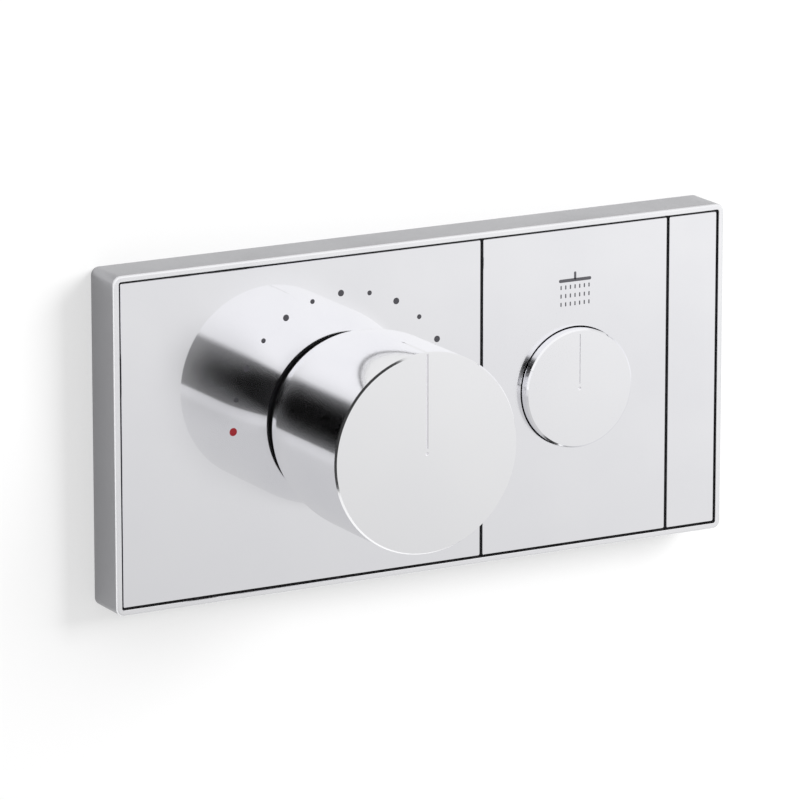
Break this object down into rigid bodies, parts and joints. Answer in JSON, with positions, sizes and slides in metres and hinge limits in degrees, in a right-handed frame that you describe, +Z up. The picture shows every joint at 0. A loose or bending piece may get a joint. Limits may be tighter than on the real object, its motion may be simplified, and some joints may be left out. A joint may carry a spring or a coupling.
{
  "type": "shower control panel",
  "caption": "Wall-mounted rectangular thermostatic shower control: framed plates, a large turning temperature knob and a push-and-turn flow button on a concealed brass valve.",
  "frame": {"origin": "middle of the panel on the wall's surface, where the frame's rear edge rests", "axes": "+X to the right along the panel's long side, +Y into the wall, +Z up; the front faces -Y"},
  "size_m": [0.2106, 0.131, 0.104],
  "materials": {
    "frame_chrome": "satin chrome sides with a polished rim",
    "plate_chrome": "polished chrome plate",
    "knob_chrome": "polished chrome",
    "button_chrome": "polished chrome",
    "black_plastic": "moulded, fine grain",
    "gasket_foam": "closed-cell foam",
    "seal_rubber": "smooth moulded",
    "bracket_steel": "zinc plated sheet",
    "fastener_steel": "turned",
    "spring_steel": "drawn wire",
    "valve_brass": "cast and machined",
    "spindle_brass": "turned",
    "cartridge_plastic": "glass-filled moulding",
    "white_plastic": "moulded",
    "wax_copper": "drawn copper",
    "ceramic": "lapped ceramic",
    "filter_mesh": "fine woven mesh"
  },
  "bodies": {
    "panel": {"frame": "frame_chrome", "temperature_plate": "plate_chrome", "outlet_plate": "plate_chrome", "end_plate": "plate_chrome", "plate_carrier": "black_plastic", "wall_gasket": "gasket_foam", "mounting_bracket": "bracket_steel", "retaining_studs": "fastener_steel", "stud_rings": "seal_rubber", "bracket_pillars": "spindle_brass", "bracket_screws": "fastener_steel", "valve_body": "valve_brass", "passage_plug": "valve_brass", "inlet_filters": "filter_mesh", "hot_check_valve": "white_plastic", "cold_check_valve": "white_plastic", "thermostat_cartridge": "cartridge_plastic", "thermostat_nut": "valve_brass", "thermostat_seals": "seal_rubber", "thermostat_spring": "spring_steel", "stop_ring": "white_plastic", "flow_cartridge": "cartridge_plastic", "flow_nut": "valve_brass", "flow_seals": "seal_rubber", "fixed_disc": "ceramic"},
    "temperature_knob": {"knob_shell": "knob_chrome", "knob_hub": "black_plastic", "knob_set_screw": "fastener_steel", "thermostat_spindle": "spindle_brass", "spindle_clip": "spring_steel"},
    "regulator": {"regulator_piston": "white_plastic", "wax_element": "wax_copper"},
    "volume_spindle": {"flow_spindle": "spindle_brass", "flow_clip": "spring_steel", "volume_sleeve": "black_plastic", "rotating_disc": "ceramic", "button_spring": "spring_steel"},
    "flow_button": {"button_cap": "button_chrome", "button_stem": "fastener_steel", "on_off_seal": "seal_rubber"}
  },
  "joints": [
    {"name": "temperature_turn", "type": "hinge", "parent": "panel", "child": "temperature_knob", "pos_m": [-0.0275, 0, 0], "axis": [0, 1, 0], "range_deg": [-90, 90]},
    {"name": "regulator_slide", "type": "slide", "parent": "panel", "child": "regulator", "axis": [0, 1, 0], "range_m": [-0.001, 0.001], "deforming": ["thermostat_spring"]},
    {"name": "volume_turn", "type": "hinge", "parent": "panel", "child": "volume_spindle", "pos_m": [0.05225, 0, 0], "axis": [0, 1, 0], "range_deg": [-90, 90]},
    {"name": "flow_push", "type": "slide", "parent": "volume_spindle", "child": "flow_button", "axis": [0, 1, 0], "range_m": [0, 0.003], "stiffness_N_per_m": 900, "springref_m": -0.005, "deforming": ["button_spring"]}
  ],
  "couplings": [
    {"joint": "regulator_slide", "follows": "temperature_turn", "m_per_rad": -0.000636}
  ]
}
